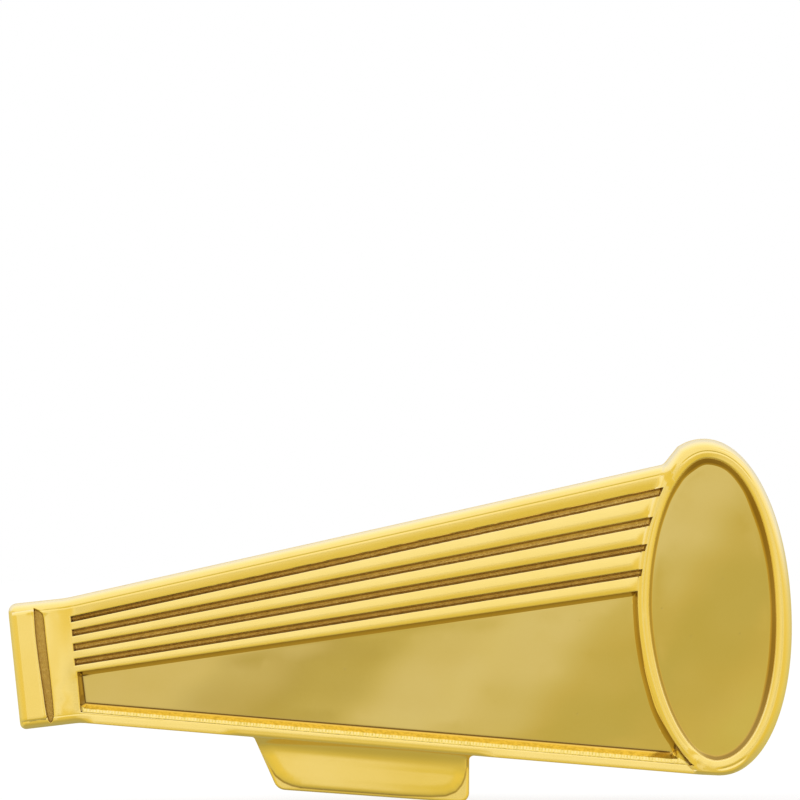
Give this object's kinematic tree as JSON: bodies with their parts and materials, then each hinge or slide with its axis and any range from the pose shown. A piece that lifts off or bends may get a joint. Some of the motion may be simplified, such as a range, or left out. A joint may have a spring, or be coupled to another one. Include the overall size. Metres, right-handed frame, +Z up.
{
  "type": "cheer megaphone pin",
  "caption": "Die-struck gold-plated insignia pin in the shape of a cheer megaphone, with soldered posts and removable butterfly clutches on its flat back.",
  "frame": {"origin": "on the flat back of the badge, at the centre of the badge's outline", "axes": "+X along the megaphone towards its bell, +Z up as the pin is worn, -Y the way the struck face looks; posts and clutches stand towards +Y"},
  "size_m": [0.0318, 0.0101, 0.0147],
  "materials": {
    "gold_plate": "die-struck, bright polished and gold plated",
    "post_metal": "drawn wire and turned pad, gold plated",
    "clutch_brass": "pressed sheet, tumbled and gold plated",
    "spring_brass": "rolled spring strip, gold plated"
  },
  "bodies": {
    "badge": {"megaphone_face": "gold_plate", "post_bell_end": "post_metal", "post_handle_end": "post_metal"},
    "clutch_bell_end": {"clutch_base_bell_end": "clutch_brass"},
    "clutch_head_bell_end": {"clutch_housing_bell_end": "clutch_brass"},
    "wing_a_bell_end": {"clutch_wing_a_bell_end": "spring_brass"},
    "wing_b_bell_end": {"clutch_wing_b_bell_end": "spring_brass"},
    "clutch_handle_end": {"clutch_base_handle_end": "clutch_brass"},
    "clutch_head_handle_end": {"clutch_housing_handle_end": "clutch_brass"},
    "wing_a_handle_end": {"clutch_wing_a_handle_end": "spring_brass"},
    "wing_b_handle_end": {"clutch_wing_b_handle_end": "spring_brass"}
  },
  "joints": [
    {"name": "clutch_bell_end_slide", "type": "slide", "parent": "badge", "child": "clutch_bell_end", "axis": [0, 1, 0], "range_m": [0, 0.005]},
    {"name": "clutch_bell_end_turn", "type": "hinge", "parent": "clutch_bell_end", "child": "clutch_head_bell_end", "pos_m": [0.01072, 0.003, 0.00028], "axis": [0, 1, 0], "continuous": true},
    {"name": "wing_a_bell_end_pinch", "type": "hinge", "parent": "clutch_head_bell_end", "child": "wing_a_bell_end", "pos_m": [0.01133, 0.00595, 0.0016], "axis": [-0.9063, 0, 0.4226], "range_deg": [0, 12]},
    {"name": "wing_b_bell_end_pinch", "type": "hinge", "parent": "clutch_head_bell_end", "child": "wing_b_bell_end", "pos_m": [0.0101, 0.00595, -0.00103], "axis": [0.9063, 0, -0.4226], "range_deg": [0, 12]},
    {"name": "clutch_handle_end_slide", "type": "slide", "parent": "badge", "child": "clutch_handle_end", "axis": [0, 1, 0], "range_m": [0, 0.005]},
    {"name": "clutch_handle_end_turn", "type": "hinge", "parent": "clutch_handle_end", "child": "clutch_head_handle_end", "pos_m": [-0.00194, 0.003, -0.00166], "axis": [0, 1, 0], "continuous": true},
    {"name": "wing_a_handle_end_pinch", "type": "hinge", "parent": "clutch_head_handle_end", "child": "wing_a_handle_end", "pos_m": [-0.00049, 0.00595, -0.00179], "axis": [0.0872, 0, 0.9962], "range_deg": [0, 12]},
    {"name": "wing_b_handle_end_pinch", "type": "hinge", "parent": "clutch_head_handle_end", "child": "wing_b_handle_end", "pos_m": [-0.00338, 0.00595, -0.00154], "axis": [-0.0872, 0, -0.9962], "range_deg": [0, 12]}
  ],
  "couplings": [
    {"joint": "wing_b_bell_end_pinch", "follows": "wing_a_bell_end_pinch", "ratio": 1},
    {"joint": "wing_b_handle_end_pinch", "follows": "wing_a_handle_end_pinch", "ratio": 1}
  ]
}
